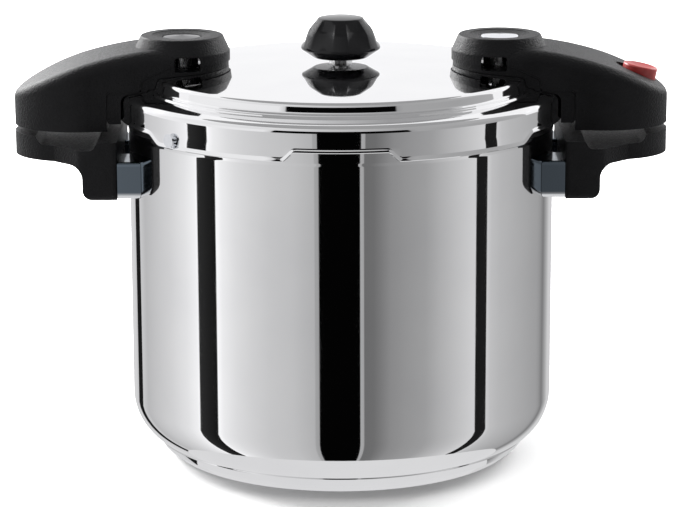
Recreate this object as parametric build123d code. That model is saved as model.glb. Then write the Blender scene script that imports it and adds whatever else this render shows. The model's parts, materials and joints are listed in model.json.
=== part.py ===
"""Ten-litre stainless pressure canner: pot, bayonet lid, two pairs of side handles and a central weight.

Millimetres, +Z up. The origin is the centre of the base's flat underside. The handles lie along X, the lock
button is on the +X handle and the front is -Y. Bearings are degrees from the front, positive towards +X.
"""

from build123d import *
from math import acos, cos, degrees, hypot, radians, sin, tan
import os

# ---- driving dimensions --------------------------------------------------------------------------
GAP = 0.15               # assembly gap between curved faces of one body
RUN = 0.5                # clearance between bodies that move past each other

POT_R = 122.0            # outside of the pot's wall
POT_WALL = 1.2
POT_FLOOR_Z = 6.0        # underside of the pot's own floor, on top of the core
POT_CORNER_R = 28.0
POT_RIM_Z = 206.0

CORE_R = 97.5
CAP_SHEET = 0.8          # thickness of the base cap under the core
CAP_FLAT_R = 99.5
CAP_RIM_R = 109.3
CAP_RIM_Z = 10.6

SKIRT_R = 128.0          # outside of the lid's skirt
LID_SHEET = 1.4
SKIRT_Z = 192.5          # bottom of the skirt and of its locking lips
NOTCH_Z = 197.7          # bottom of the skirt in its notches
SHOULDER_Z = 212.0
STEP_R = 107.3           # top edge of the raised crown
STEP_Z = 221.3
CROWN_Z = 226.4
LUG_BEARING = 33.0       # four lugs, at plus and minus this from the front and from the back
LUG_HALF_ANGLE = 12.2
LUG_R = 126.0
LUG_Z = (194.8, 198.0)
LIP_R = 123.0            # inner edge of the lid's locking lips
STOP_BEARING = -46.9
STOP_Z = 197.6

HUB_X = 91.0             # centre of each lid handle's hub
HUB_R_TOP = 23.5
HUB_R_FOOT = 27.5
HUB_Z = 242.4
HUB_FOOT_Z = 233.5
SEAM_Z = 228.0           # joint between a lid handle's cover and its saddle
HANDLE_END_X = 187.5
HANDLE_WIDE_X = 150.0    # where a lid handle is widest
HANDLE_HALF_WIDTH = 34.0
HANDLE_BOTTOM_Z = 192.0
STEP_X = (113.0, 132.5)  # the saddle's two outer faces
SEAM_DROP = ((96.0, SEAM_Z), (STEP_X[0], 220.5))  # the joint falls between these points, outside the hub
LEDGE_Z = 214.3          # top of the saddle's outer step
HANDLE_WALL = 3.6
REACH_Y = 60.0            # half width of the blocks that cut across a whole handle
COVER_RIM_R = 7.0        # round along both sides of a lid handle's top
CAVITY_X = (136.0, 153.0)

GRIP_Z = (175.0, 188.3)  # underside and top of a pot handle
GRIP_DIP_Z = 184.0
LEG_X = (126.2, 145.8)
LEG_Y = (17.0, 48.0)
LEG_Z = 155.0
LEG_TOE_R = 6.5          # round of a leg's lower outer edge
LEG_THROAT_R = 7.5       # round where a leg runs into the grip's underside
FERRULE_Y = (18.0, 47.0)
FERRULE_Z = (155.5, 177.0)
FERRULE_WALL = 1.5

BUTTON_X = 169.0
BUTTON_R = 9.9
BUTTON_TILT = 12.0       # lean of the button's axis, outwards
BUTTON_Z = (209.0, 224.5)
BUTTON_TRAVEL = 3.5

NOZZLE_TOP_Z = 241.0


# ---- shape helpers -------------------------------------------------------------------------------
def outline(*corners):
    """A closed face through (a, b) or (a, b, radius) corners; a radius rounds its corner with an arc."""
    points = [Vector(c[0], c[1], 0) for c in corners]
    radii = [c[2] if len(c) > 2 else 0 for c in corners]
    starts, ends, edges = [], [], []
    for i, corner in enumerate(points):
        back = (points[i - 1] - corner).normalized()
        ahead = (points[(i + 1) % len(points)] - corner).normalized()
        half = radians(back.get_angle(ahead)) / 2
        reach = radii[i] / tan(half) if radii[i] else 0
        starts.append(corner + back * reach)
        ends.append(corner + ahead * reach)
        if radii[i]:
            inward = (back + ahead).normalized()
            middle = corner + inward * (radii[i] / sin(half) - radii[i])
            edges.append(ThreePointArc(starts[i], middle, ends[i]))
    for i in range(len(points)):
        after = starts[(i + 1) % len(points)]
        if (after - ends[i]).length > 1e-6:
            edges.append(Line(ends[i], after))
    return make_face(edges)


def turned(*corners):
    """The solid of revolution about Z of a profile given as (radius, z) corners."""
    return revolve(Plane.XZ * outline(*corners), Axis.Z)


def disc(radius, low, high, x=0.0, y=0.0):
    """An upright cylinder from low to high."""
    return Pos(x, y, (low + high) / 2) * Cylinder(radius, high - low)


def ring(outer, inner, low, high, x=0.0, y=0.0):
    """An upright ring from low to high."""
    return disc(outer, low, high, x, y) - disc(inner, low - 1, high + 1, x, y)


def block(x, y, z):
    """A box between three (low, high) ranges."""
    sizes = [high - low for low, high in (x, y, z)]
    middles = [(high + low) / 2 for low, high in (x, y, z)]
    return Pos(*middles) * Box(*sizes)


def rod_x(radius, x, y, z):
    """A cylinder along X between x[0] and x[1]."""
    return Pos((x[0] + x[1]) / 2, y, z) * Rot(0, 90, 0) * Cylinder(radius, x[1] - x[0])


def along_y(face, half_width):
    """A profile drawn in (x, z), extruded to both sides of the XZ plane."""
    return extrude(Plane.XZ * face, half_width, both=True)


def along_x(face, half_width):
    """A profile drawn in (y, z), extruded to both sides of the YZ plane."""
    return extrude(Plane.YZ * face, half_width, both=True)


def upright(face, low, high):
    """A plan outline extruded from low to high."""
    return Pos(0, 0, low) * extrude(face, high - low)


def sector(bearing, half_angle, reach, low, high):
    """An upright wedge about the axis, centred on a bearing."""
    sides = [radians(bearing - half_angle), radians(bearing + half_angle)]
    far = [(reach * sin(side), -reach * cos(side)) for side in sides]
    return upright(outline((0, 0), *far), low, high)


def softened(solid, edges, *radii):
    """The solid with edges rounded by the first radius that its neighbours leave room for."""
    for radius in radii:
        try:
            rounded = fillet(edges, radius)
        except (ValueError, RuntimeError):
            continue
        if rounded.is_valid and rounded.volume > 0:
            return rounded
    return solid


def other_side(solid):
    """The same piece on the -X side, turned half a turn about the axis."""
    return Rot(0, 0, 180) * solid


parts = {}


# ---- pot -----------------------------------------------------------------------------------------
def pot_solid(radius, floor, corner, top):
    return turned((0, floor), (radius, floor, corner), (radius, top), (0, top))


def pot_shell():
    inner_r = POT_R - POT_WALL
    shell = pot_solid(POT_R, POT_FLOOR_Z, POT_CORNER_R, POT_RIM_Z)
    shell -= pot_solid(inner_r, POT_FLOOR_Z + POT_WALL, POT_CORNER_R - POT_WALL, POT_RIM_Z + 1)
    bead = POT_WALL
    shell += turned(
        (inner_r, POT_RIM_Z - 2 * bead - 0.4),
        (POT_R + bead, POT_RIM_Z - 2 * bead - 0.4, bead * 0.9),
        (POT_R + bead, POT_RIM_Z, bead * 0.9),
        (inner_r, POT_RIM_Z),
    )
    lugs = ring(LUG_R, POT_R - POT_WALL / 2, *LUG_Z)
    for bearing in (LUG_BEARING, -LUG_BEARING, 180 - LUG_BEARING, LUG_BEARING - 180):
        shell += lugs & sector(bearing, LUG_HALF_ANGLE, 1.1 * LUG_R, *LUG_Z)
    return shell


def base_cap():
    cap = turned(
        (0, 0),
        (CAP_FLAT_R, 0, 3),
        (CAP_RIM_R - 3.3, CAP_RIM_Z / 2, 4),
        (CAP_RIM_R, CAP_RIM_Z),
        (0, CAP_RIM_Z),
    )
    skin = 0.05
    cap -= pot_solid(POT_R + skin, POT_FLOOR_Z - skin, POT_CORNER_R + skin, POT_RIM_Z)
    return cap - disc(CORE_R + skin, CAP_SHEET, POT_FLOOR_Z)


parts["pot_shell"] = pot_shell()
parts["base_core"] = disc(CORE_R, CAP_SHEET, POT_FLOOR_Z - 0.05)
parts["base_cap"] = base_cap()


# ---- pot handles ---------------------------------------------------------------------------------
def ferrule_block(inset):
    y, z = FERRULE_Y, FERRULE_Z
    face = outline(
        (y[0] + inset, z[0] + inset, 5 - inset),
        (y[1] - inset, z[0] + inset, 5 - inset),
        (y[1] - inset, z[1] - inset, 2.6 - inset),
        (y[0] + inset, z[1] - inset, 2.6 - inset),
    )
    return extrude(Plane.YZ.offset(100) * face, LEG_X[0] - 0.1 - 100)


def ferrules():
    tube = ferrule_block(0) - ferrule_block(FERRULE_WALL)
    tube -= disc(POT_R + GAP, 0, POT_RIM_Z)
    return [tube, mirror(tube, Plane.XZ)]


STUD_Z = (FERRULE_Z[0] + FERRULE_Z[1]) / 2
STUD_YS = [side * (FERRULE_Y[0] + FERRULE_Y[1]) / 2 for side in (1, -1)]
STUD_END_X = LEG_X[0] + 9
STUD_R = 3.5
LEG_SCREW_R = 2.0
LEG_SCREW_HEAD_R = 4.2
LEG_SCREW_HEAD_X = (LEG_X[1] - 4, LEG_X[1] - 1.4)


def wall_studs():
    """Threaded studs welded to the wall, one through each ferrule into its leg."""
    pot = disc(POT_R + GAP / 3, 0, POT_RIM_Z)
    studs = []
    for y in STUD_YS:
        stud = rod_x(STUD_R, (105, STUD_END_X), y, STUD_Z) - pot
        studs.append(stud - rod_x(LEG_SCREW_R + 0.1, (120, STUD_END_X + 1), y, STUD_Z))
    return studs


def leg_screws():
    """Countersunk screws from the outside of each leg into its stud."""
    screws = []
    for y in STUD_YS:
        shank = rod_x(LEG_SCREW_R, (LEG_X[0] - 3, LEG_SCREW_HEAD_X[0]), y, STUD_Z)
        head = rod_x(LEG_SCREW_HEAD_R, LEG_SCREW_HEAD_X, y, STUD_Z)
        slot = block((LEG_X[1] - 2.4, LEG_X[1]), (y - 5, y + 5), (STUD_Z - 0.5, STUD_Z + 0.5))
        screws.append(shank + head - slot)
    return screws


def handle_plan(inset=0.0):
    """Plan of a lid handle: the hub's circle opening out to a half ellipse at the end."""
    half = HANDLE_HALF_WIDTH - inset
    hub_r = HUB_R_FOOT - inset
    end = Pos(HANDLE_WIDE_X, 0) * Ellipse(HANDLE_END_X - HANDLE_WIDE_X - inset, half)
    sides = [(HUB_X, hub_r), (HUB_X, -hub_r), (HANDLE_WIDE_X, -half), (HANDLE_WIDE_X, half)]
    return Pos(HUB_X, 0) * Circle(hub_r) + end + make_face(Polyline(*sides, close=True))


def pot_handle():
    """A grip plate with two legs down to the ferrules and a dip in its top for the thumbs."""
    plate = upright(handle_plan(), *GRIP_Z) & block((LEG_X[0], 200), (-REACH_Y, REACH_Y), GRIP_Z)
    lower = [e for e in plate.edges() if e.center().Z < GRIP_Z[0] + 0.1 and e.center().X > LEG_X[1] + 4]
    plate = softened(plate, lower, 7, 5, 4)
    y = LEG_Y[1]
    near, far = LEG_X
    blend = y - HANDLE_HALF_WIDTH + 3
    root = outline(
        (near, -y, 2.5),
        (far + 1, -y, 7),
        (far + 1 + blend, blend - y),
        (far + 1 + blend, y - blend),
        (far + 1, y, 7),
        (near, y, 2.5),
    )
    handle = plate + upright(root, *GRIP_Z)
    side = outline(
        (LEG_X[0], LEG_Z, 1.5),
        (LEG_X[1], LEG_Z, LEG_TOE_R),
        (LEG_X[1], GRIP_Z[0], LEG_THROAT_R),
        (LEG_X[1] + 2 * LEG_THROAT_R, GRIP_Z[0]),
        (LEG_X[1] + 2 * LEG_THROAT_R, GRIP_Z[1] - 2),
        (LEG_X[0], GRIP_Z[1] - 2),
    )
    front = outline(
        (LEG_Y[0], LEG_Z, 4),
        (LEG_Y[1], LEG_Z, 4),
        (LEG_Y[1], GRIP_Z[0] + 4),
        (LEG_Y[0], GRIP_Z[0] + 4),
    )
    leg = along_y(side, REACH_Y) & extrude(Plane.YZ.offset(LEG_X[0]) * front, REACH_Y)
    leg &= upright(root, LEG_Z, GRIP_Z[1])
    handle += leg + mirror(leg, Plane.XZ)
    dip = outline((LEG_X[1] - 6, GRIP_DIP_Z, 4), (171, GRIP_DIP_Z, 4), (176, 192), (LEG_X[1] - 11, 192))
    handle -= along_y(dip, REACH_Y)
    for stud_y in STUD_YS:
        handle -= rod_x(STUD_R + GAP, (LEG_X[0] - 1, STUD_END_X + 0.5), stud_y, STUD_Z)
        handle -= rod_x(LEG_SCREW_R + GAP, LEG_X, stud_y, STUD_Z)
        handle -= rod_x(LEG_SCREW_HEAD_R + GAP, (LEG_SCREW_HEAD_X[0] - GAP, LEG_X[1] + 1), stud_y, STUD_Z)
    return handle


right_grip = {
    "pot_handle": [pot_handle()],
    "ferrules": ferrules(),
    "wall_studs": wall_studs(),
    "leg_screws": leg_screws(),
}


# ---- lid -----------------------------------------------------------------------------------------
def lid_outside(gap=0.0):
    """Everything under the lid's outer surface, raised by gap."""
    return turned(
        (0, SKIRT_Z - 12),
        (SKIRT_R + gap, SKIRT_Z - 12),
        (SKIRT_R + gap, SHOULDER_Z + gap, 4.5),
        (122.8, SHOULDER_Z + 0.6 + gap),
        (113.4 + gap, 213.9 + gap, 1),
        (112.4 + gap, 215.1 + gap, 1),
        (108.7 + gap, 215.5 + gap, 1.6),
        (STEP_R + gap, STEP_Z + gap, 3),
        (54, CROWN_Z + gap, 1040),
        (0, CROWN_Z + gap),
    )


def lid_inside():
    """The hollow under the lid's sheet."""
    t = LID_SHEET
    return turned(
        (0, SKIRT_Z - 13),
        (SKIRT_R - t, SKIRT_Z - 13),
        (SKIRT_R - t, SHOULDER_Z - t, 3.1),
        (122.8, SHOULDER_Z + 0.6 - t),
        (113.4 - t, 213.9 - t, 1),
        (112.4 - t, 215.1 - t, 1),
        (108.7 - t, 215.5 - t, 1.6),
        (STEP_R - t, STEP_Z - t, 1.8),
        (54, CROWN_Z - t, 1040),
        (0, CROWN_Z - t),
    )


# (x, radius) of the holes for the nozzle, the indicator and the safety valve.
LID_HOLES = ((0.0, 5.0), (HUB_X, 6.0), (-HUB_X, 6.0))


def notch(foot, top, corner):
    """A notch in the skirt's edge: its half widths at the foot and at the top, and its top corners' round."""
    low = SKIRT_Z - 5
    splay = foot + 6
    right = [(splay, low), (foot, SKIRT_Z, 3), (top, NOTCH_Z, corner)]
    left = [(-x, *rest) for x, *rest in reversed(right)]
    return outline(*right, *left)


def lid_shell():
    lid = lid_outside() - lid_inside()
    lid -= disc(2 * SKIRT_R, SKIRT_Z - 13, SKIRT_Z)
    lid += ring(SKIRT_R - LID_SHEET / 2, LIP_R, SKIRT_Z, SKIRT_Z + LID_SHEET)
    lid -= along_y(notch(32.3, 25, 4), 1.1 * SKIRT_R)
    lid -= along_x(notch(79.4, 70, 6), 1.1 * SKIRT_R)
    for x, radius in LID_HOLES:
        lid -= disc(radius, SHOULDER_Z, CROWN_Z + 5, x)
    return lid - stop_shape(GAP)


def stop_shape(grow=0.0):
    """The rivet through the skirt that meets a pot lug when the lid is home, pointing outwards along -Y."""
    rivet = Cylinder(1.8 + grow, 4.4)
    if not grow:
        rivet += Pos(0, 0, 1.95) * Cylinder(3.8, 1.1) + Pos(0, 0, -1.85) * Cylinder(2.6, 1.6)
    return Rot(0, 0, STOP_BEARING) * Pos(0, -(SKIRT_R - LID_SHEET / 2), STOP_Z) * Rot(90, 0, 0) * rivet


def gasket():
    return turned(
        (116.2, POT_RIM_Z + 0.3, 1),
        (126.3, POT_RIM_Z + 0.3, 1),
        (126.3, 210.3, 3.4),
        (115.5, 210.3, 1),
        (115.5, 209.2, 0.5),
        (122.5, 208.9, 0.8),
        (122.5, 207.9, 0.8),
        (116.2, 207.6, 0.5),
    )


parts["lid_shell"] = lid_shell()
parts["lid_gasket"] = gasket()
parts["stop_rivet"] = stop_shape()


# ---- lid handles ---------------------------------------------------------------------------------
CROWN_LINE = ((108, 237.0), (150, 228.2), (HANDLE_END_X, 211.2))
HUB_CAVITY_R = 16.0
HUB_CAVITY_Z = 237.8
HUB_BORE_R = 11.3
DISH_R = 17.0
WINDOW_X = (79.5, 94.0)    # the slot through each hub's side
WINDOW_Z = (SEAM_Z - 0.5, 233.0)
WINDOW_FOOT_Z = 224.8

FLOOR_SCREWS = ((180.3, 0.0), (141.0, 23.0), (141.0, -23.0))  # they close each cover's floor
FLOOR_Z = (HANDLE_BOTTOM_Z + 0.4, HANDLE_BOTTOM_Z + 3.0)
SCREW_R = 1.5
WELL_TOP_Z = 202.0
BRACKET_SCREW = (140.0, 0.0)  # it holds each cover to its bracket on the lid
BRACKET_SCREW_R = 2.4
BRACKET_Z = (197.4, 199.4)
BRACKET_X = (SKIRT_R + GAP, SKIRT_R + 2.2, 146.0)
BRACKET_HALF = 8.0

BUTTON_HEIGHT = BUTTON_Z[1] - BUTTON_Z[0]
POCKET_R = BUTTON_R + RUN
PLATE_THICK = 1.6
PLATE_SPAN = (-21.0, 4.5)  # along the travel, in the button's frame
PLATE_HALF = 7.0
STEM_HALF = (2.5, 4.0)
PLATE_TOP = -7.0           # top of the lock plate, below the button's foot
EAR_HEIGHT = 5.0


def crown_profile(drop=0.0):
    """The side view of everything under a handle's crown line, lowered by drop."""
    near, middle, far = [(x, z - drop) for x, z in CROWN_LINE]
    beyond = 200
    rest = Polyline(far, (beyond, far[1]), (beyond, 150), (50, 150), (50, near[1] - 1.5), near)
    return make_face([ThreePointArc(near, middle, far), *rest.edges()])


def cover_outside():
    """The outer shape of a lid handle's cover, cut away above the saddle and the lid."""
    near, far = STEP_X
    arm = upright(handle_plan(), HANDLE_BOTTOM_Z, HUB_Z) & along_y(crown_profile(), REACH_Y)
    arm &= block((HUB_X, HANDLE_END_X + 1), (-REACH_Y, REACH_Y), (HANDLE_BOTTOM_Z, HUB_Z))
    rim = [
        e for e in arm.edges()
        if e.center().Z > 205 and e.center().X > HUB_X + 1 and e.bounding_box().size.X > 3
    ]
    body = softened(arm, rim, COVER_RIM_R, 5, 3.5)
    body += disc(HUB_R_FOOT, HANDLE_BOTTOM_Z, HUB_FOOT_Z, HUB_X)
    low = HUB_FOOT_Z - 4
    side = ((HUB_R_FOOT, low), (HUB_R_FOOT, HUB_FOOT_Z, 3), (HUB_R_TOP, HUB_Z, 1.2))
    hub = turned((0, low), *side, (0, HUB_Z))
    body += Pos(HUB_X, 0, 0) * hub
    (level_x, level_z), (drop_x, drop_z) = SEAM_DROP
    under = outline(
        (40, 180),
        (far, 180),
        (far, LEDGE_Z, 2),
        (near, LEDGE_Z, 2),
        (drop_x, drop_z, 3),
        (level_x, level_z, 12),
        (40, SEAM_Z),
    )
    body -= along_y(under, REACH_Y)
    return body - lid_outside(GAP + 0.2)


def cavity():
    """The hollow of a cover: a high bay beside the lid and a low well under the button."""
    inside = upright(handle_plan(HANDLE_WALL), HANDLE_BOTTOM_Z - 1, HUB_Z)
    inside &= along_y(crown_profile(4.5), REACH_Y)
    bay = inside & block(CAVITY_X, (-REACH_Y, REACH_Y), (150, 250))
    return bay + (inside & block((CAVITY_X[1] - 1, 200), (-REACH_Y, REACH_Y), (150, WELL_TOP_Z)))


def cover_posts():
    """Posts inside a cover for the floor's screws and for the bracket's screw."""
    low = FLOOR_Z[1] + 0.05
    x, y = BRACKET_SCREW
    posts = disc(4.6, BRACKET_Z[1] + 0.05, HUB_Z, x, y)
    for x, y in FLOOR_SCREWS:
        posts += disc(3.4, low, HUB_Z, x, y)
    return posts


def handle_cover():
    """The shell of a lid handle, with its hub and the pockets that hold the fittings."""
    outside = cover_outside()
    body = outside - cavity()
    body += cover_posts() & outside
    for x, y in FLOOR_SCREWS:
        body -= disc(SCREW_R + 0.05, FLOOR_Z[1] - 1, FLOOR_Z[1] + 8.5, x, y)
    body -= disc(BRACKET_SCREW_R + 0.05, BRACKET_Z[0], BRACKET_Z[1] + 11.5, *BRACKET_SCREW)
    body -= bracket_space()
    body -= disc(HUB_CAVITY_R, 200, HUB_CAVITY_Z, HUB_X)
    body -= disc(HUB_BORE_R, HUB_CAVITY_Z - 1, HUB_Z + 1, HUB_X)
    rise = (HUB_Z - 1.2, HUB_Z - 0.2, HUB_Z + 1)
    bowl = turned((0, rise[2]), (DISH_R, rise[2]), (DISH_R, rise[1]), (HUB_BORE_R, rise[0]), (0, rise[0]))
    body -= Pos(HUB_X, 0, 0) * bowl
    (left, right), (low, high) = WINDOW_X, WINDOW_Z
    return body - along_y(outline((left, low), (right, low), (right, high, 2), (left, high, 2)), REACH_Y)


def handle_saddle():
    """The lower piece of a lid handle: it fills the steps between the cover and the lid."""
    near, far = STEP_X
    fit = GAP
    (level_x, level_z), (drop_x, drop_z) = SEAM_DROP
    side = outline(
        (50, SEAM_Z - fit),
        (level_x - fit, level_z - fit, 12),
        (drop_x - fit, drop_z - fit, 3),
        (near - fit, LEDGE_Z - fit),
        (far - fit, LEDGE_Z - fit, 2.2),
        (far - fit, 196, 2),
        (100, 196),
        (50, 196),
    )
    saddle = along_y(side, REACH_Y) & upright(handle_plan(0.8), 190, 240)
    saddle -= lid_outside(GAP)
    saddle -= disc(HUB_CAVITY_R - 2, 200, SEAM_Z + 1, HUB_X)
    saddle -= bracket_space()
    left, right = WINDOW_X
    top, foot = SEAM_Z + 1, WINDOW_FOOT_Z
    slot = outline((left, top), (right, top), (right, foot, 1.5), (left, foot, 1.5))
    return saddle - along_y(slot, REACH_Y)


def button_place(travel=0.0):
    """The button's frame: its foot on the handle, Z along its axis and -X along its travel."""
    lean = Rot(0, BUTTON_TILT, 0)
    return Pos(BUTTON_X, 0, BUTTON_Z[0]) * lean * Pos(-travel, 0, 0)


def stadium(radius, travel, low, high):
    """The space that a round piece sweeps as it slides by travel along -X, in the button's frame."""
    swept = disc(radius, low, high) + disc(radius, low, high, -travel)
    return swept + block((-travel, 0), (-radius, radius), (low, high))


def button_space():
    """What the right cover loses for the button, its stem and the lock plate."""
    pocket = stadium(POCKET_R, BUTTON_TRAVEL + 0.4, 0, 30)
    stem_x, stem_y = STEM_HALF[0] + RUN, STEM_HALF[1] + RUN
    stem = block((-stem_x - BUTTON_TRAVEL, stem_x), (-stem_y, stem_y), (PLATE_TOP - 2, 1))
    start, end = PLATE_SPAN
    plate_y = (-PLATE_HALF - RUN, PLATE_HALF + RUN)
    plate = block((start - 8, end + RUN), plate_y, (PLATE_TOP - 6, PLATE_TOP + RUN))
    ear = block((start - 8, start + 4), plate_y, (PLATE_TOP - 1, PLATE_TOP + EAR_HEIGHT + RUN))
    return button_place() * (pocket + stem + plate + ear)


def lock_button():
    button = disc(BUTTON_R, RUN, BUTTON_HEIGHT)
    button = softened(button, button.edges().group_by(Axis.Z)[-1], 1.2, 0.6)
    dish_r = 30.5
    button -= Pos(0, 0, BUTTON_HEIGHT + dish_r - 1.5) * Sphere(dish_r)
    stem = block((-STEM_HALF[0], STEM_HALF[0]), (-STEM_HALF[1], STEM_HALF[1]), (PLATE_TOP, RUN + 1))
    return button_place() * (button + stem)


def lock_plate():
    """The steel plate under the button; its turned-up ear stands against the return spring."""
    low = PLATE_TOP - PLATE_THICK
    start, end = PLATE_SPAN
    plate = block(PLATE_SPAN, (-PLATE_HALF, PLATE_HALF), (low, PLATE_TOP))
    ear = block((start, start + PLATE_THICK), (-PLATE_HALF, PLATE_HALF), (low, PLATE_TOP + EAR_HEIGHT))
    return button_place() * (plate + ear)


def bracket_outline(grow):
    """The bracket's side view: up against the skirt, then out under the handle."""
    inner, face, end = BRACKET_X
    low, high = BRACKET_Z[0] - grow, BRACKET_Z[1] + grow
    top = 211 + grow
    return outline(
        (inner - grow, low),
        (end + grow, low),
        (end + grow, high),
        (face + grow, high, 1.0),
        (face + grow, top),
        (inner - grow, top),
    )


def bracket_space():
    return along_y(bracket_outline(0.2), BRACKET_HALF + 0.2)


def lid_bracket():
    """The stainless angle welded to the skirt, which carries the handle."""
    bracket = along_y(bracket_outline(0), BRACKET_HALF) - disc(SKIRT_R + GAP, 150, 250)
    return bracket - disc(BRACKET_SCREW_R + 0.1, 190, 205, *BRACKET_SCREW)


def bracket_screw():
    x, y = BRACKET_SCREW
    low = BRACKET_Z[0]
    return disc(4.0, low - 1.9, low - 0.05, x, y) + disc(BRACKET_SCREW_R, low - 1, low + 12, x, y)


def handle_floor():
    """The plate that closes a cover from below, let into its walls."""
    floor = upright(handle_plan(HANDLE_WALL + GAP), *FLOOR_Z)
    floor &= block((CAVITY_X[0] + GAP, 200), (-REACH_Y, REACH_Y), (180, 200))
    for x, y in FLOOR_SCREWS:
        floor -= disc(SCREW_R + 0.1, 180, 200, x, y)
    return floor


def floor_screws():
    screws = []
    for x, y in FLOOR_SCREWS:
        low = FLOOR_Z[0]
        cross = block((x - 2, x + 2), (y - 0.4, y + 0.4), (low - 1.7, low - 0.8))
        screws.append(disc(2.8, low - 1.5, low, x, y) - cross + disc(SCREW_R, low - 0.1, low + 10, x, y))
    return screws


cover = handle_cover()
right_lid_handle = {
    "lid_handle_cover": [cover - button_space()],
    "lid_handle_saddle": [handle_saddle()],
    "lid_handle_floor": [handle_floor()],
    "lid_bracket": [lid_bracket()],
    "lid_handle_screws": [*floor_screws(), bracket_screw()],
}


# ---- fittings in the hubs ------------------------------------------------------------------------
FITTING_FLANGE_Z = (224.0, 226.0)
NUT_Z = (215.8, 219.9)
THREAD_R = LID_HOLES[1][1] - 0.1


def hex_nut(bore):
    """The nut under the lid that clamps a hub fitting."""
    hexagon = RegularPolygon(9, 6) - Circle(bore)
    return Pos(HUB_X, 0, NUT_Z[0]) * extrude(hexagon, NUT_Z[1] - NUT_Z[0])


def hub_fitting(top, bore, chamber=None):
    """A flanged and threaded bush through the lid; the valve's bore widens to a chamber (radius, foot)."""
    bush = disc(THREAD_R, NUT_Z[0] - 0.6, FITTING_FLANGE_Z[0], HUB_X)
    bush += disc(11, *FITTING_FLANGE_Z, HUB_X)
    bush += disc(9.3, FITTING_FLANGE_Z[0], top, HUB_X)
    if chamber:
        radius, low = chamber
        bush -= disc(radius, low, top + 1, HUB_X)
    return bush - disc(bore, 200, top + 1, HUB_X)


INDICATOR_PIN_R = 2.5
DISC_Z = (238.3, 241.9)
indicator_sleeve = hub_fitting(232.5, INDICATOR_PIN_R + 0.06)
PIN_HEAD_Z = 209.6


def indicator_pin():
    """The float pin: a head under the lid, a stem through the sleeve and a neck for the disc."""
    pin = disc(4.6, PIN_HEAD_Z, PIN_HEAD_Z + 1.6, HUB_X)
    pin += disc(INDICATOR_PIN_R, PIN_HEAD_Z, DISC_Z[0] - 2.0, HUB_X)
    return pin + disc(1.5, PIN_HEAD_Z + 2, DISC_Z[0] + 0.9, HUB_X)


def indicator_disc():
    """The silver disc on the pin's neck, slightly crowned."""
    radius = HUB_BORE_R - 0.35
    low, high = DISC_Z
    top = turned((0, low), (radius, low), (radius, high - 0.6, 0.6), (0, high))
    collar = disc(4, low - 1.95, low + 0.1, HUB_X)
    return (Pos(HUB_X, 0, 0) * top) + collar - disc(1.55, low - 3, low + 1, HUB_X)


def indicator_seal():
    low = PIN_HEAD_Z + 1.65
    return ring(4.4, INDICATOR_PIN_R + 0.02, low, low + 1.5, HUB_X)


CHAMBER = (4.3, 226.6)
PISTON_Z = (226.7, 228.4)
SPRING_Z = (228.5, 232.2)
VALVE_TOP_Z = 233.8


def safety_piston():
    """The piston that covers the valve's bore, and its guide stem."""
    low, high = PISTON_Z
    return disc(CHAMBER[0] - 0.06, low, high, HUB_X) + disc(1.4, low, VALVE_TOP_Z + 0.6, HUB_X)


def safety_cap():
    """The ring screwed into the valve's mouth to hold its spring down."""
    return ring(CHAMBER[0] - 0.05, 1.5, SPRING_Z[1] + 0.1, VALVE_TOP_Z, HUB_X)


def safety_spring():
    return ring(3.6, 2.6, *SPRING_Z, HUB_X)


def hub_plug():
    """The glossy cap that closes the left hub."""
    radius = HUB_BORE_R - 0.1
    neck = radius - 1.6
    foot, flange, rim = 236.6, 238.2, 241.2
    plug = turned((0, foot), (neck, foot), (neck, flange), (radius, flange), (radius, rim, 1.2), (0, rim + 1))
    return Pos(HUB_X, 0, 0) * plug


# ---- vent and weight -----------------------------------------------------------------------------
VENT_R = 4.0
VENT_FLANGE_Z = (CROWN_Z, CROWN_Z + 1.8)
VENT_NUT_Z = (221.2, CROWN_Z - LID_SHEET - 0.05)
VENT_LOW_Z = 214.0


def vent_nozzle():
    """The steam nozzle: a thread through the crown, a seating flange and the spigot the weight stands on."""
    nozzle = disc(LID_HOLES[0][1] - 0.1, VENT_LOW_Z, VENT_FLANGE_Z[0] + 0.5)
    nozzle += upright(RegularPolygon(6.6, 6), *VENT_FLANGE_Z)
    nozzle += turned(
        (0, VENT_LOW_Z),
        (VENT_R, VENT_LOW_Z),
        (VENT_R, NOZZLE_TOP_Z - 2),
        (2.2, NOZZLE_TOP_Z),
        (0, NOZZLE_TOP_Z),
    )
    return nozzle - disc(1.4, 200, NOZZLE_TOP_Z + 1)


def vent_nut():
    hexagon = RegularPolygon(9, 6) - Circle(LID_HOLES[0][1] - 0.05)
    return Pos(0, 0, VENT_NUT_Z[0]) * extrude(hexagon, VENT_NUT_Z[1] - VENT_NUT_Z[0])


def vent_strainer():
    """The slotted cup over the nozzle's lower end that keeps food out of it."""
    inner, wall = LID_HOLES[0][1], 1.2
    high = VENT_NUT_Z[0] - 0.1
    cup = disc(inner + wall, VENT_LOW_Z - 4, high) - disc(inner - 0.05, VENT_LOW_Z - 4 + wall, high + 1)
    for i in range(3):
        cup -= Rot(0, 0, 60 * i) * block((-10, 10), (-0.8, 0.8), (VENT_LOW_Z - 2.2, VENT_LOW_Z - 0.6))
    return cup


CORE_BODY_R = 9.0
CORE_NECK_R = 5.4
CAP_BOTTOM_Z = 229.4
CORE_TOP_Z = 247.0
SCOOPS = 6


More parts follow.
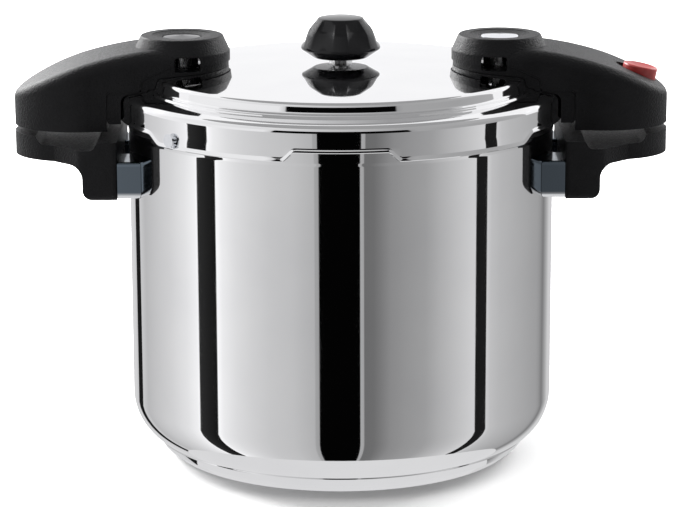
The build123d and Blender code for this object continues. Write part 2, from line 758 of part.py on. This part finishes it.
def weight_core():
    """The steel weight: a neck that stands round the spigot and a cone that closes the nozzle."""
    core = turned(
        (0, VENT_FLANGE_Z[1] + 0.3),
        (CORE_NECK_R, VENT_FLANGE_Z[1] + 0.3),
        (CORE_NECK_R, CAP_BOTTOM_Z + 1.0),
        (CORE_BODY_R, CAP_BOTTOM_Z + 1.0),
        (CORE_BODY_R, CORE_TOP_Z),
        (0, CORE_TOP_Z),
    )
    play = 0.1
    low, high = NOZZLE_TOP_Z - 2, NOZZLE_TOP_Z + 3.2
    bore = turned((0, 220), (VENT_R + play, 220), (VENT_R + play, low + play), (0, high))
    needle = turned((0, low - 0.2), (0, high + 0.2), (1.3, high + 0.2), (1.2, low + 1.5))
    return core - bore + needle


def weight_cap():
    """The moulded knob over the weight, with six finger scoops."""
    knob = turned(
        (0, CAP_BOTTOM_Z),
        (14.6, CAP_BOTTOM_Z, 1.5),
        (22.9, 234.6, 1.2),
        (19.4, 244.2, 14),
        (12.2, 251.9, 1.6),
        (0, 252.6),
    )
    rise, inward = 15.5, 10.3
    lean = degrees(acos(rise / hypot(inward, rise)))
    scoop_r, bite = 9.5, 1.9
    axis_r = 23.4 - bite + scoop_r * cos(radians(lean))
    cutter = Pos(axis_r, 0, 237.6) * Rot(0, -lean, 0) * Pos(0, 0, 20) * Cylinder(scoop_r, 40)
    for i in range(SCOOPS):
        knob -= Rot(0, 0, 360 / SCOOPS * i) * cutter
    socket = disc(CORE_BODY_R + 0.06, CAP_BOTTOM_Z + 0.9, CORE_TOP_Z + 0.3)
    return knob - socket - disc(CORE_NECK_R + 0.1, CAP_BOTTOM_Z - 1, CAP_BOTTOM_Z + 2)


# ---- assembly and files --------------------------------------------------------------------------
def keep(name, solids):
    """Stores one node made of one or more separate solids."""
    solids = [piece for solid in solids for piece in solid.solids()]
    parts[name] = solids[0] if len(solids) == 1 else Compound(children=solids)


for group in (right_grip, right_lid_handle):
    for name, solids in group.items():
        keep(f"right_{name}", solids)
        keep(f"left_{name}", [other_side(solid) for solid in solids])
keep("left_lid_handle_cover", [other_side(cover)])

keep("lock_button", [lock_button()])
keep("lock_plate", [lock_plate()])
keep("indicator_sleeve", [indicator_sleeve])
keep("indicator_nut", [hex_nut(THREAD_R + 0.05)])
keep("indicator_pin", [indicator_pin()])
keep("indicator_disc", [indicator_disc()])
keep("indicator_seal", [indicator_seal()])
keep("safety_valve_body", [other_side(hub_fitting(VALVE_TOP_Z, 1.8, CHAMBER))])
keep("safety_valve_nut", [other_side(hex_nut(THREAD_R + 0.05))])
keep("safety_valve_piston", [other_side(safety_piston())])
keep("safety_valve_spring", [other_side(safety_spring())])
keep("safety_valve_cap", [other_side(safety_cap())])
keep("left_hub_plug", [other_side(hub_plug())])
keep("vent_nozzle", [vent_nozzle()])
keep("vent_nut", [vent_nut()])
keep("vent_strainer", [vent_strainer()])
keep("weight_core", [weight_core()])
keep("weight_cap", [weight_cap()])

os.makedirs("parts", exist_ok=True)
for name, solid in parts.items():
    export_step(solid, f"parts/{name}.step")
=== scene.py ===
"""Looks for the pressure canner: studio, camera, polished steel, moulded handles and fittings, in metres."""

import json
import math

import bpy
import bmesh
from mathutils import Matrix, Vector


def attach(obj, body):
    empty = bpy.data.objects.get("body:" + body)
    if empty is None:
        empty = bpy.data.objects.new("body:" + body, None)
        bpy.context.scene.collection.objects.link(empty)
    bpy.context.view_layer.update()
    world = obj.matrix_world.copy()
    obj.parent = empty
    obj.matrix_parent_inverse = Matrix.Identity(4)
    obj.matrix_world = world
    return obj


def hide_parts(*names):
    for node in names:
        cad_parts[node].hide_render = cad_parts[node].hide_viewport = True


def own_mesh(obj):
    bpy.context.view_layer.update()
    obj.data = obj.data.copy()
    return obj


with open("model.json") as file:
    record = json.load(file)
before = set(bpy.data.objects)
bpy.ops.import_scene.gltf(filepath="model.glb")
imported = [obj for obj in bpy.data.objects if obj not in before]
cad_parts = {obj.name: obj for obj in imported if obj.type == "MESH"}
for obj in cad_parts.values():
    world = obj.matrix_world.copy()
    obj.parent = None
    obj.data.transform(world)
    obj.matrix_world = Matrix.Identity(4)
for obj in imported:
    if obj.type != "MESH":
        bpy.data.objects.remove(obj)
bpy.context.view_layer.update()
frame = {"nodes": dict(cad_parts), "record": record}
nodes = frame["nodes"]
MM = 0.001

# ---- camera --------------------------------------------------------------------------------------
CAMERA_PLACE = (-0.0011, -1.6915, 0.5117)
CAMERA_PITCH = math.radians(13.256)   # below the horizon
CAMERA_ROLL = -0.00355
CAMERA_LENS = 158.2                   # mm on a 36 mm sensor

camera_data = bpy.data.cameras.new("camera")
camera = bpy.data.objects.new("camera", camera_data)
bpy.context.scene.collection.objects.link(camera)
camera_data.lens = CAMERA_LENS
camera_data.sensor_width = 36
camera_data.clip_start = 0.05
camera_data.clip_end = 60
turn = Matrix.Rotation(math.pi / 2 - CAMERA_PITCH, 4, "X") @ Matrix.Rotation(CAMERA_ROLL, 4, "Z")
camera.matrix_world = Matrix.Translation(CAMERA_PLACE) @ turn
bpy.context.scene.camera = camera


# ---- materials -----------------------------------------------------------------------------------
def new_material(name, **sockets):
    """A Principled material; keyword names are its sockets with _ for a space."""
    material = bpy.data.materials.new(name)
    material.use_nodes = True
    shader = material.node_tree.nodes["Principled BSDF"]
    for key, value in sockets.items():
        shader.inputs[key.replace("_", " ")].default_value = value
    return material, material.node_tree, shader


def noise(tree, scale, detail=3.0, stretch=(1, 1, 1)):
    """A noise texture in object space, with features of about 1 / scale metres."""
    place = tree.nodes.new("ShaderNodeTexCoord")
    mapping = tree.nodes.new("ShaderNodeMapping")
    mapping.inputs["Scale"].default_value = stretch
    texture = tree.nodes.new("ShaderNodeTexNoise")
    texture.inputs["Scale"].default_value = scale
    texture.inputs["Detail"].default_value = detail
    tree.links.new(place.outputs["Object"], mapping.inputs["Vector"])
    tree.links.new(mapping.outputs["Vector"], texture.inputs["Vector"])
    return texture.outputs["Fac"]


def spread(tree, value, low, high, start=0.3, end=0.7):
    """value between start and end, mapped to low to high."""
    node = tree.nodes.new("ShaderNodeMapRange")
    for key, number in (("From Min", start), ("From Max", end), ("To Min", low), ("To Max", high)):
        node.inputs[key].default_value = number
    tree.links.new(value, node.inputs["Value"])
    return node.outputs["Result"]


def bump(tree, shader, height, strength, distance):
    """Raised grain on the shader's normal."""
    node = tree.nodes.new("ShaderNodeBump")
    node.inputs["Strength"].default_value = strength
    node.inputs["Distance"].default_value = distance
    tree.links.new(height, node.inputs["Height"])
    tree.links.new(node.outputs["Normal"], shader.inputs["Normal"])


def mixed(tree, shader, factor, dark, light):
    """Base colour from dark to light by factor."""
    node = tree.nodes.new("ShaderNodeMix")
    node.data_type = "RGBA"
    node.inputs["A"].default_value = (*dark, 1)
    node.inputs["B"].default_value = (*light, 1)
    tree.links.new(factor, node.inputs["Factor"])
    tree.links.new(node.outputs["Result"], shader.inputs["Base Color"])


def polished_steel():
    """Mirror-polished stainless steel with a faint haze and the finest wipe marks."""
    material, tree, shader = new_material("polished_steel", Metallic=1.0)
    haze = noise(tree, 22, 4)
    mixed(tree, shader, spread(tree, haze, 0, 1), (0.88, 0.88, 0.885), (0.92, 0.92, 0.92))
    wipes = noise(tree, 260, 2, (1, 1, 0.12))
    tree.links.new(spread(tree, wipes, 0.022, 0.05), shader.inputs["Roughness"])
    return material


def satin_steel():
    """Turned steel for the small fittings."""
    material, tree, shader = new_material("satin_steel", Metallic=1.0)
    grain = noise(tree, 900, 3, (1, 1, 0.1))
    mixed(tree, shader, grain, (0.55, 0.55, 0.56), (0.72, 0.72, 0.72))
    tree.links.new(spread(tree, grain, 0.18, 0.34), shader.inputs["Roughness"])
    return material


def chrome_trim():
    """Bright trim, slightly brushed round."""
    material, tree, shader = new_material("chrome_trim", Metallic=1.0)
    grain = noise(tree, 700, 2, (0.15, 1, 1))
    mixed(tree, shader, grain, (0.74, 0.76, 0.79), (0.86, 0.87, 0.89))
    tree.links.new(spread(tree, grain, 0.05, 0.14), shader.inputs["Roughness"])
    return material


def smoked_nickel():
    """The ferrules: dark nickel, with a painted highlight: the base colour is painted bright on faces turned
    downward, along the lower edge.
    """
    material, tree, shader = new_material("smoked_nickel", Metallic=1.0)
    place = tree.nodes.new("ShaderNodeTexCoord")
    parts = tree.nodes.new("ShaderNodeSeparateXYZ")
    tree.links.new(place.outputs["Normal"], parts.inputs["Vector"])
    # Painted highlight: the base colour goes from dark nickel to bright where the object normal points
    # downward.
    painted_highlight = spread(tree, parts.outputs["Z"], 1, 0, -0.6, -0.15)
    mixed(tree, shader, painted_highlight, (0.115, 0.14, 0.165), (0.82, 0.83, 0.84))
    grain = noise(tree, 700, 2, (0.15, 1, 1))
    tree.links.new(spread(tree, grain, 0.06, 0.16), shader.inputs["Roughness"])
    return material


GRAIN_DEPTH = 0.0005       # metres, at full strength


def moulding(name, colour, rough, grain, depth, specular):
    """Moulded phenolic: a fine eroded grain with slightly uneven gloss."""
    material, tree, shader = new_material(name, Specular_IOR_Level=specular)
    fine = noise(tree, grain, 3)
    cloud = noise(tree, 45, 3)
    light = tuple(min(1, 1.5 * c + 0.0008) for c in colour)
    mixed(tree, shader, spread(tree, cloud, 0, 1), colour, light)
    tree.links.new(spread(tree, fine, rough[0], rough[1]), shader.inputs["Roughness"])
    bump(tree, shader, fine, depth, GRAIN_DEPTH)
    return material


def red_plastic():
    material, tree, shader = new_material("red_plastic", Subsurface_Weight=0.15)
    shader.inputs["Subsurface Scale"].default_value = 0.002
    cloud = noise(tree, 160, 3)
    mixed(tree, shader, spread(tree, cloud, 0, 1), (0.22, 0.008, 0.008), (0.32, 0.024, 0.020))
    fine = noise(tree, 2600, 2)
    tree.links.new(spread(tree, fine, 0.3, 0.42), shader.inputs["Roughness"])
    bump(tree, shader, fine, 0.15, 0.0001)
    return material


def silicone():
    material, tree, shader = new_material("silicone", Subsurface_Weight=0.2)
    shader.inputs["Subsurface Scale"].default_value = 0.003
    cloud = noise(tree, 60, 2)
    mixed(tree, shader, spread(tree, cloud, 0, 1), (0.52, 0.53, 0.53), (0.62, 0.63, 0.63))
    tree.links.new(spread(tree, cloud, 0.45, 0.6), shader.inputs["Roughness"])
    return material


def core_aluminium():
    material, tree, shader = new_material("core_aluminium", Metallic=1.0)
    grain = noise(tree, 500, 3)
    mixed(tree, shader, grain, (0.6, 0.6, 0.61), (0.75, 0.75, 0.76))
    tree.links.new(spread(tree, grain, 0.3, 0.45), shader.inputs["Roughness"])
    return material


STEEL = polished_steel()
SATIN = satin_steel()
CHROME = chrome_trim()
BLACK = moulding("black_moulding", (0.0035, 0.0035, 0.004), (0.34, 0.50), 900, 1.0, 0.13)
KNOB_BLACK = moulding("satin_black_moulding", (0.003, 0.003, 0.0035), (0.08, 0.14), 900, 0.04, 0.3)
GLOSS_BLACK = moulding("gloss_black", (0.004, 0.004, 0.005), (0.05, 0.10), 700, 0.02, 0.4)
RED = red_plastic()
SILICONE = silicone()
ALUMINIUM = core_aluminium()
SMOKED = smoked_nickel()

SLOT_MATERIALS = {
    "polished_steel": STEEL,
    "core_aluminium": ALUMINIUM,
    "chrome_trim": CHROME,
    "black_moulding": BLACK,
    "satin_black_moulding": KNOB_BLACK,
    "gloss_black": GLOSS_BLACK,
    "red_button": RED,
    "silicone": SILICONE,
    "brass_fittings": SATIN,
    "machined_steel": SATIN,
}
for subpart in frame["record"]["subparts"]:
    name = subpart["node"]
    mesh = nodes[name].data
    mesh.materials.clear()
    mesh.materials.append(SMOKED if name.endswith("ferrules") else SLOT_MATERIALS[subpart["material_slot"]])


# ---- mesh helpers --------------------------------------------------------------------------------
LONGEST_CHORD = 3.0       # of an arc, in millimetres


def rounded(corners, arc_step=math.radians(6)):
    """Points along (a, b) or (a, b, radius) corners of an open profile, with the radii as arcs."""
    points = []
    for i, corner in enumerate(corners):
        here = Vector(corner[:2])
        radius = corner[2] if len(corner) > 2 else 0
        if not radius or i in (0, len(corners) - 1):
            points.append(here)
            continue
        back = (Vector(corners[i - 1][:2]) - here).normalized()
        ahead = (Vector(corners[i + 1][:2]) - here).normalized()
        half = back.angle(ahead) / 2
        centre = here + (back + ahead).normalized() * (radius / math.sin(half))
        start = here + back * (radius / math.tan(half)) - centre
        end = here + ahead * (radius / math.tan(half)) - centre
        sweep = start.angle(end)
        steps = max(3, math.ceil(sweep / arc_step), math.ceil(sweep * radius / LONGEST_CHORD))
        side = 1 if start.x * end.y - start.y * end.x > 0 else -1
        for k in range(steps + 1):
            a = side * sweep * k / steps
            c, s = math.cos(a), math.sin(a)
            points.append(centre + Vector((start.x * c - start.y * s, start.x * s + start.y * c)))
    return points


def mesh_object(name, vertices, faces, material, smooth=True):
    mesh = bpy.data.meshes.new(name)
    mesh.from_pydata(vertices, [], faces)
    mesh.validate()
    mesh.polygons.foreach_set("use_smooth", [smooth] * len(mesh.polygons))
    mesh.materials.append(material)
    piece = bpy.data.objects.new(name, mesh)
    bpy.context.scene.collection.objects.link(piece)
    return piece


def revolved(name, place, material, rows, segments=256, sharp=35):
    """A surface of revolution: place(row, angle) gives a vertex, and a row on the axis closes to a point."""
    vertices, faces, starts = [], [], []
    for row in range(rows):
        first = place(row, 0.0)
        starts.append(len(vertices))
        if Vector(first[:2]).length < 1e-7:
            vertices.append(first)
        else:
            vertices += [place(row, 2 * math.pi * k / segments) for k in range(segments)]
    ends = starts[1:] + [len(vertices)]
    for row in range(rows - 1):
        a, b = starts[row], starts[row + 1]
        single_a, single_b = ends[row] - a == 1, ends[row + 1] - b == 1
        for k in range(segments):
            n = (k + 1) % segments
            if single_a:
                faces.append((a, b + n, b + k))
            elif single_b:
                faces.append((a + k, a + n, b))
            else:
                faces.append((a + k, a + n, b + n, b + k))
    piece = mesh_object(name, vertices, faces, material)
    shape = bmesh.new()
    shape.from_mesh(piece.data)
    bmesh.ops.recalc_face_normals(shape, faces=shape.faces)
    shape.to_mesh(piece.data)
    shape.free()
    piece.data.set_sharp_from_angle(angle=math.radians(sharp))
    return piece


def on_axis(radius, z, angle):
    """The point at a radius, a height and an angle about Z from +X."""
    return (radius * math.cos(angle), radius * math.sin(angle), z)


def lathe(name, corners, material, segments=256, sharp=35):
    """A turned solid from (radius, z[, round]) corners in millimetres, from the axis round to the axis."""
    profile = rounded(corners)
    return revolved(
        name,
        lambda row, angle: on_axis(profile[row].x * MM, profile[row].y * MM, angle),
        material,
        len(profile),
        segments,
        sharp,
    )


# ---- studio --------------------------------------------------------------------------------------
def stage_only_in_reflections(thing):
    thing.visible_camera = False
    thing.visible_diffuse = False
    thing.visible_shadow = False
    thing.visible_transmission = False
    thing.visible_volume_scatter = False


def linear(level):
    """Scene-linear value of a display level from 0 to 1."""
    return ((level + 0.055) / 1.055) ** 2.4 if level > 0.04045 else level / 12.92


# The ring of cards that polished steel reflects: (bearing from the front in degrees, display level 0 to 255).
# Two bearings close together make a card's edge.
CARDS = (
    (-180, 215), (-130, 205), (-124.5, 196), (-124, 28), (-116.5, 22), (-116, 200), (-108, 183), (-98, 194),
    (-84, 208), (-73, 225), (-66.5, 240), (-65.4, 250), (-65, 44), (-55.2, 22), (-54.8, 252), (-52, 235),
    (-45, 218), (-38, 207), (-30, 197), (-20, 190), (-13.6, 180), (-11, 176), (-10.7, 160), (-9.2, 156),
    (-9, 3), (7.4, 3), (7.6, 166), (8.9, 160), (9.2, 105), (13, 108), (15.5, 118), (20, 136), (26, 145),
    (35, 155), (41.5, 172), (49, 187), (57.6, 203), (59.8, 206), (60.1, 26), (66.1, 28), (66.4, 203),
    (69, 189), (75, 180), (86, 171), (100, 161), (108, 156), (112, 147), (117, 120), (121, 150), (129, 198),
    (180, 215),
)
RING_RADIUS = 0.26
RING_FOOT_Z = -0.20       # the cards reach below the floor, which polished steel doesn't reflect
RING_CROWN_Z = 0.205      # the crown's cards stand on this line
RING_UPPER_Z = 0.285      # and the plain upper cards on this one
RING_EDGE = 0.002         # height of the change from one row of cards to the next
RING_TOP_Z = 0.52
# Above the crown line: a wide dark card in front with pale walls beside it, and one bright wall behind.
CROWN_CARDS = (
    (-180, 243), (-85.2, 243), (-84.8, 236), (-60, 234), (-30, 228), (-27, 200), (-26, 4), (26, 4),
    (27, 150), (30, 160), (60, 158), (84.8, 170), (85.2, 240), (180, 243),
)
UPPER_CARDS = (
    (-180, 243), (-85.2, 243), (-84.8, 236), (-30, 215), (0, 188), (30, 160), (84.8, 170), (85.2, 240),
    (180, 243),
)
CEILING_LEVEL = 150
UNDER_LEVEL = 214
STEEL_SHARE = 0.9         # what the steel gives back of its surroundings


def glow_colour(level):
    value = linear(level / 255) / STEEL_SHARE
    return (value, value, 1.015 * value, 1.0)


def card_level(cards, bearing):
    """Display level of a row of cards at a bearing."""
    for (low, dim), (high, bright) in zip(cards, cards[1:]):
        if low <= bearing <= high:
            return dim + (bright - dim) * (bearing - low) / (high - low)
    return cards[-1][1]


def reflector_ring():
    """The cards, a bright back wall, a grey ceiling and a pale foot, seen by reflections only."""
    bearings = sorted({angle for cards in (CARDS, CROWN_CARDS, UPPER_CARDS) for angle, level in cards})
    stops = []
    for low, high in zip(bearings, bearings[1:]):
        count = max(1, math.ceil((high - low) / 5))
        stops += [low + (high - low) * k / count for k in range(count)]
    rows = (
        (RING_FOOT_Z, CARDS),
        (RING_CROWN_Z, CARDS),
        (RING_CROWN_Z + RING_EDGE, CROWN_CARDS),
        (RING_UPPER_Z, CROWN_CARDS),
        (RING_UPPER_Z + RING_EDGE, UPPER_CARDS),
        (RING_TOP_Z, UPPER_CARDS),
    )
    vertices, colours, faces = [], [], []
    for z, cards in rows:
        for bearing in stops:
            turn = math.radians(bearing)
            vertices.append((RING_RADIUS * math.sin(turn), -RING_RADIUS * math.cos(turn), z))
            colours.append(glow_colour(card_level(cards, bearing)))
    count = len(stops)
    for row in range(len(rows) - 1):
        for k in range(count):
            n = (k + 1) % count
            low, high = row * count, (row + 1) * count
            faces.append((low + k, low + n, high + n, high + k))
    for z, level, low in ((RING_FOOT_Z, UNDER_LEVEL, 0), (RING_TOP_Z, CEILING_LEVEL, len(rows) - 1)):
        rim = len(vertices)
        vertices += [vertices[low * count + k] for k in range(count)]
        vertices.append((0, 0, z))
        colours += [glow_colour(level)] * (count + 1)
        faces += [(rim + k, rim + (k + 1) % count, rim + count) for k in range(count)]

    material = bpy.data.materials.new("reflector_cards")
    material.use_nodes = True
    tree = material.node_tree
    tree.nodes.clear()
    card = tree.nodes.new("ShaderNodeAttribute")
    card.attribute_name = "card"
    glow = tree.nodes.new("ShaderNodeEmission")
    out = tree.nodes.new("ShaderNodeOutputMaterial")
    tree.links.new(card.outputs["Color"], glow.inputs["Color"])
    tree.links.new(glow.outputs[0], out.inputs["Surface"])
    ring = mesh_object("reflector_ring", vertices, faces, material, smooth=False)
    attribute = ring.data.color_attributes.new("card", "FLOAT_COLOR", "POINT")
    attribute.data.foreach_set("color", [channel for colour in colours for channel in colour])
    stage_only_in_reflections(ring)


def floor():
    """A pale floor for the shadow, which the polished steel doesn't reflect."""
    material, tree, shader = new_material("floor", Roughness=0.6)
    shader.inputs["Specular IOR Level"].default_value = 0.2
    speckle = noise(tree, 300, 2)
    mixed(tree, shader, speckle, (0.92, 0.92, 0.92), (0.95, 0.95, 0.95))
    half = 6
    corners = [(-half, -half, 0), (half, -half, 0), (half, half, 0), (-half, half, 0)]
    piece = mesh_object("floor", corners, [(0, 1, 2, 3)], material)
    piece.visible_glossy = False


def area_light(name, place, target, size, power):
    data = bpy.data.lights.new(name, "AREA")
    data.shape = "RECTANGLE"
    data.size, data.size_y = size
    data.energy = power
    lamp = bpy.data.objects.new(name, data)
    bpy.context.scene.collection.objects.link(lamp)
    lamp.location = place
    lamp.rotation_euler = (Vector(target) - Vector(place)).to_track_quat("-Z", "Y").to_euler()


def world_light(seen, given):
    """A plain white surround: one strength as the camera sees it, a softer one as light."""
    world = bpy.data.worlds.new("world")
    bpy.context.scene.world = world
    world.use_nodes = True
    tree = world.node_tree
    background = tree.nodes["Background"]
    background.inputs["Color"].default_value = (1, 1, 1, 1)
    path = tree.nodes.new("ShaderNodeLightPath")
    strength = spread(tree, path.outputs["Is Camera Ray"], given, seen, 0, 1)
    tree.links.new(strength, background.inputs["Strength"])


scene = bpy.context.scene
scene.view_settings.view_transform = "Standard"
world_light(seen=1.0, given=0.45)
floor()
reflector_ring()
area_light("overhead", (0, 0.1, 2.2), (0, 0, 0.1), (2.4, 2.4), 38)
area_light("left_window", (-1.3, 1.2, 1.0), (0, 0, 0.2), (1.2, 0.9), 130)
area_light("right_window", (1.4, 1.1, 1.0), (0, 0, 0.2), (1.0, 0.8), 45)


# ---- pot -----------------------------------------------------------------------------------------
POT_R, POT_WALL = 122.0, 1.2
FLOOR_Z, CORNER_R = 6, 28                     # underside of the pot's floor and its rounded corner
STEP_LOW_Z, STEP_HIGH_Z = 189.6, 191.4        # a shallow step below the rim
LUG_BEARINGS = (33, 147, -147, -33)
LUG_HALF_ANGLE, LUG_R = 12.2, 126.0
LUG_BEVEL = 0.5
LUG_FOOT_Z, LUG_TOP_Z = 194.8, 198.0


def bearing_of(angle):
    """Degrees from the front, positive towards +X, for an angle about Z from +X."""
    return (math.degrees(angle) + 90 + 180) % 360 - 180


def pot_shell():
    """The deep-drawn pot: rounded floor corner, rolled rim and four bayonet lugs below it."""
    neck, inner = POT_R + 0.5, POT_R - POT_WALL
    rim_r, rim_z = 123.2, 206.0
    outside = rounded(
        (
            (0, FLOOR_Z), (POT_R, FLOOR_Z, CORNER_R), (POT_R, STEP_LOW_Z, 3), (neck, STEP_HIGH_Z, 1.5),
            (neck, LUG_FOOT_Z - 0.2), (neck, LUG_FOOT_Z), (neck, LUG_FOOT_Z + LUG_BEVEL),
            (neck, LUG_TOP_Z - LUG_BEVEL), (neck, LUG_TOP_Z), (neck, LUG_TOP_Z + 0.2), (neck, 203.0, 0.5),
            (rim_r, 203.4, 0.9), (rim_r, rim_z, 1.0), (inner - 0.2, rim_z, 0.8), (inner, rim_z - 2.4),
        )
    )
    inner_floor = FLOOR_Z + POT_WALL
    inside = rounded(((inner, rim_z - 3), (inner, inner_floor, CORNER_R - POT_WALL), (0, inner_floor)))
    profile = outside + inside

    def place(row, angle):
        radius, z = profile[row]
        bearing = bearing_of(angle)
        on_lug = any(abs(bearing - middle) < LUG_HALF_ANGLE for middle in LUG_BEARINGS)
        if on_lug and row < len(outside) and LUG_FOOT_Z <= z <= LUG_TOP_Z:
            radius = LUG_R if LUG_FOOT_Z < z < LUG_TOP_Z else LUG_R - LUG_BEVEL
        return on_axis(radius * MM, z * MM, angle)

    pot = revolved("pot_body", place, STEEL, len(profile), segments=384)
    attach(pot, "pot")
    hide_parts("pot_shell")


def base_cap():
    """The capsule plate pressed round the aluminium core."""
    cap = lathe(
        "base_plate",
        (
            (0, 0), (99.5, 0, 3), (106, 5.3, 4), (109.3, 10.2, 0.8), (108.7, 10.9, 0.3), (98, 5.4, 3),
            (97, 1.2, 1.5), (0, 1.2),
        ),
        STEEL,
        segments=384,
    )
    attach(cap, "pot")
    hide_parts("base_cap")


# ---- lid -----------------------------------------------------------------------------------------
SKIRT_R, SHEET = 127.2, 1.4
SKIRT_Z, NOTCH_Z = 192.5, 197.7               # the skirt's edge, and the same in a notch
LIP_R, LIP_Z = 123.0, 1.4
CROWN_Z, CROWN_R = 226.4, 1040
FRONT_NOTCH_HALF, FRONT_NOTCH_RAMP = 32.3, 7.3
SIDE_NOTCH_HALF, SIDE_NOTCH_RAMP = 79.4, 9.4


def notch_share(bearing):
    """0 along the skirt's full height, 1 in the front, back and side notches."""
    x = abs(SKIRT_R * math.sin(math.radians(bearing)))
    y = abs(SKIRT_R * math.cos(math.radians(bearing)))
    front = (FRONT_NOTCH_HALF - x) / FRONT_NOTCH_RAMP
    side = (SIDE_NOTCH_HALF - y) / SIDE_NOTCH_RAMP
    share = min(1, max(0, front, side))
    return share * share * (3 - 2 * share)


def lid_shell():
    """The lid: a rolled skirt with four notches and locking lips, two rings, and a slightly domed crown."""
    outside = rounded(
        (
            (SKIRT_R, 200.5), (SKIRT_R, 212, 4.3), (122.8, 212.6), (113.4, 213.9, 1), (112.4, 215.1, 1),
            (108.7, 215.5, 1.6), (107.3, 221.3, 3), (54, CROWN_Z, CROWN_R), (0, CROWN_Z),
        )
    )
    inside = rounded(
        (
            (0, CROWN_Z - SHEET), (54, CROWN_Z - SHEET, CROWN_R), (107.3 - SHEET, 221.3 - SHEET, 2),
            (108.7 - SHEET, 214.1, 2), (122.6, 212.6 - SHEET), (SKIRT_R - SHEET, 211.4 - SHEET, 3),
            (SKIRT_R - SHEET, 200.5),
        )
    )
    # The rolled edge: (radius, height above the skirt's edge).
    edge_in = ((SKIRT_R - SHEET, 1.9), (SKIRT_R - SHEET, 1.4), (LIP_R, LIP_Z), (LIP_R, 0.0))
    edge_out = (
        (SKIRT_R - 0.7, 0.0), (SKIRT_R + 0.4, 0.15), (SKIRT_R + 0.8, 0.6), (SKIRT_R + 0.7, 1.2),
        (SKIRT_R + 0.25, 1.9), (SKIRT_R, 2.8),
    )
    edge = edge_in + edge_out
    rows = len(inside) + len(edge) + len(outside)

    def place(row, angle):
        if row < len(inside):
            radius, z = inside[row]
        elif row < len(inside) + len(edge):
            radius, up = edge[row - len(inside)]
            share = notch_share(bearing_of(angle))
            z = SKIRT_Z + (NOTCH_Z - SKIRT_Z) * share + up
            if radius == LIP_R:
                radius = LIP_R + (SKIRT_R - SHEET - LIP_R) * min(1, 2 * share)
        else:
            radius, z = outside[row - len(inside) - len(edge)]
        return on_axis(radius * MM, z * MM, angle)

    lid = revolved("lid_body", place, STEEL, rows, segments=720)
    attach(lid, "lid")
    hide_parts("lid_shell")


# ---- weight --------------------------------------------------------------------------------------
SCOOPS = 6
SCOOP_DEPTH = 2.7
SCOOP_WIDTH = 0.62            # of a scoop, as a share of its sixth of a turn
SCOOP_LIP_R = 11.5            # the top disc inside this radius has no scoops
SCOOP_FOOT_FADE, SCOOP_TOP_FADE = 0.22, 0.16      # shares of its height in which a scoop deepens
SCOOP_ROUNDING = 0.6          # power of the cosine across a scoop: below 1 its floor is fuller


def weight_cap():
    """The moulded knob: a top disc, six shallow finger scoops and a full belt above a tapered foot."""
    foot_z, belt_z, top_z = 229.4, 234.8, 251.9
    scoop_foot_z, scoop_top_z = belt_z + 0.8, top_z - 1.2
    outside = rounded(
        (
            (0, foot_z), (15.6, foot_z, 1.2), (22.8, belt_z - 0.4, 1.0), (22.5, belt_z + 1.0, 1.0),
            (19.4, 244.2, 14), (12.9, top_z - 0.1, 1.3), (11.0, top_z + 0.3), (0, 252.6),
        )
    )

    def place(row, angle):
        radius, z = outside[row]
        climb = (z - scoop_foot_z) / (scoop_top_z - scoop_foot_z)
        if 0 < climb < 1 and radius > SCOOP_LIP_R:
            turn = math.degrees(angle) / (360 / SCOOPS)
            off = abs(turn - round(turn)) * 2 / SCOOP_WIDTH
            rise = min(1, climb / SCOOP_FOOT_FADE) * min(1, (1 - climb) / SCOOP_TOP_FADE)
            rise = rise * rise * (3 - 2 * rise)
            if off < 1:
                radius -= SCOOP_DEPTH * rise * math.cos(off * math.pi / 2) ** SCOOP_ROUNDING
        return on_axis(radius * MM, z * MM, angle)

    knob = revolved("weight_knob_cap", place, KNOB_BLACK, len(outside), segments=240, sharp=50)
    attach(knob, "weight_knob")
    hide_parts("weight_cap")


# ---- safety valve spring -------------------------------------------------------------------------
SPRING_X = -91.0
SPRING_FOOT_Z, SPRING_TOP_Z = 228.5, 232.2
COIL_R, WIRE_R, COIL_TURNS = 3.1, 0.25, 3.5


def safety_spring():
    """The valve's compression spring, a helix from its foot up to its cap."""
    steps, sides = 168, 8
    climb = SPRING_TOP_Z - SPRING_FOOT_Z - 2 * WIRE_R
    vertices, faces = [], []
    for k in range(steps + 1):
        turn = 2 * math.pi * COIL_TURNS * k / steps
        middle = SPRING_FOOT_Z + WIRE_R + climb * k / steps
        for side in range(sides):
            around = 2 * math.pi * side / sides
            radius = COIL_R + WIRE_R * math.cos(around)
            z = middle + WIRE_R * math.sin(around)
            x, y = SPRING_X + radius * math.cos(turn), radius * math.sin(turn)
            vertices.append((x * MM, y * MM, z * MM))
    for k in range(steps):
        low, high = k * sides, (k + 1) * sides
        for side in range(sides):
            n = (side + 1) % sides
            faces.append((low + side, high + side, high + n, low + n))
    faces += [tuple(range(sides)), tuple(reversed(range(steps * sides, (steps + 1) * sides)))]
    coil = mesh_object("valve_coil", vertices, faces, SATIN)
    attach(coil, "lid")
    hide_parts("safety_valve_spring")
    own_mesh(coil)


pot_shell()
base_cap()
lid_shell()
weight_cap()
safety_spring()
